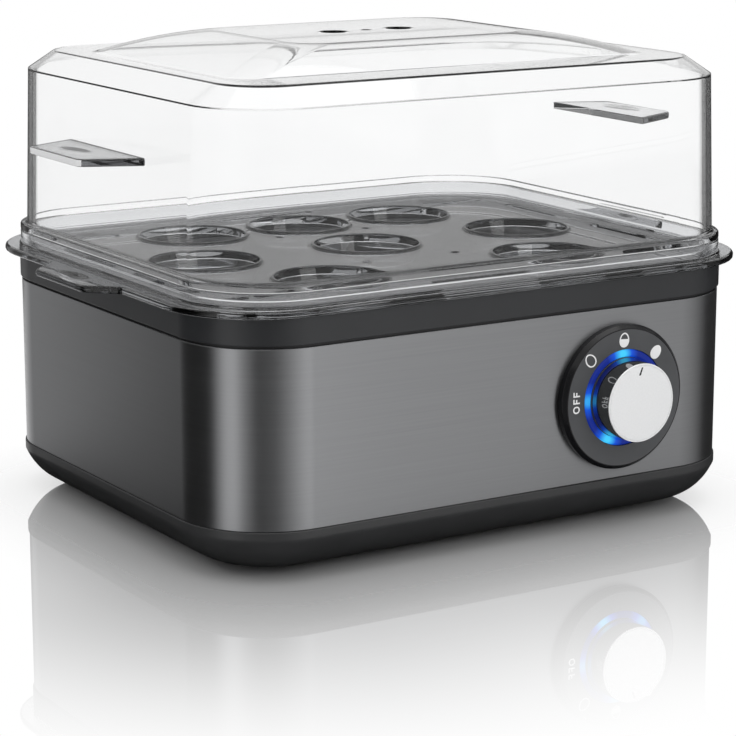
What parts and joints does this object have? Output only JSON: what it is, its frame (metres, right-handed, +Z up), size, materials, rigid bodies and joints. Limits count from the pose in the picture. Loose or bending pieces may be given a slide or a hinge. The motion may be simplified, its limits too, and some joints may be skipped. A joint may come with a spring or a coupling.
{
  "type": "electric egg cooker",
  "caption": "Countertop egg cooker with a steel-banded heated base, a lit turning dial, a lift-out egg tray and a clear lift-off hood with side handles",
  "frame": {"origin": "on the countertop, under the middle of the whole object's box", "axes": "+X to the right seen from the dial's side, +Y to the back, +Z up"},
  "size_m": [0.254, 0.202, 0.1738],
  "materials": {
    "black_housing": "black moulded plastic with a fine texture",
    "foot_rubber": "soft black rubber",
    "zinc_steel": "zinc-plated steel",
    "brushed_band": "dark satin stainless steel",
    "rim_plastic": "black moulded plastic",
    "pan_steel": "steel with a dark grey non-stick coat",
    "seal_silicone": "pale silicone",
    "cast_aluminium": "cast aluminium",
    "heater_tube": "heat-darkened steel tube",
    "black_moulding": "black moulded plastic",
    "ceramic": "glazed ceramic sleeve",
    "shield_sheet": "aluminium sheet",
    "dial_face": "dark grey satin plastic",
    "blue_light": "lit blue diffuser",
    "circuit_board": "green glass-fibre board",
    "control_case": "blue moulded case",
    "relay_blue": "blue relay case",
    "capacitor_sleeve": "dark blue sleeve",
    "terminal_nylon": "natural nylon",
    "turned_metal": "turned steel",
    "polished_metal": "polished turned aluminium",
    "satin_metal": "satin silver",
    "smoky_clear": "smoky clear plastic",
    "clear_plastic": "clear plastic"
  },
  "bodies": {
    "base": {"base_shell": "black_housing", "rubber_feet": "foot_rubber", "body_screws": "zinc_steel", "steel_band": "brushed_band", "upper_rim": "rim_plastic", "boil_pan": "pan_steel", "pan_seal": "seal_silicone", "heat_plate": "cast_aluminium", "heating_element": "heater_tube", "heater_clamp": "zinc_steel", "clamp_nut": "zinc_steel", "thermostat": "black_moulding", "thermal_fuse": "ceramic", "heat_shield": "shield_sheet", "dial_plate": "dial_face", "dial_retainer": "zinc_steel", "light_ring": "blue_light", "led_board": "circuit_board", "rotary_control": "control_case", "control_nut": "zinc_steel", "control_board": "circuit_board", "board_screws": "zinc_steel", "relay": "relay_blue", "buzzer": "black_moulding", "capacitors": "capacitor_sleeve", "terminal_block": "terminal_nylon", "cord_gland": "black_moulding", "gland_nut": "black_moulding"},
    "dial_knob": {"control_shaft": "turned_metal", "knob": "polished_metal", "knob_cap": "satin_metal", "knob_clip": "zinc_steel"},
    "tray": {"egg_tray": "smoky_clear"},
    "hood": {"lid": "clear_plastic"}
  },
  "joints": [
    {"name": "knob_turn", "type": "hinge", "parent": "base", "child": "dial_knob", "pos_m": [0.0486, -0.08735, 0.0486], "axis": [0, 1, 0], "range_deg": [-90, 45]},
    {"name": "tray_lift", "type": "slide", "parent": "base", "child": "tray", "axis": [0, 0, 1], "range_m": [0, 0.06]},
    {"name": "lid_lift", "type": "slide", "parent": "tray", "child": "hood", "axis": [0, 0, 1], "range_m": [0, 0.1]}
  ]
}
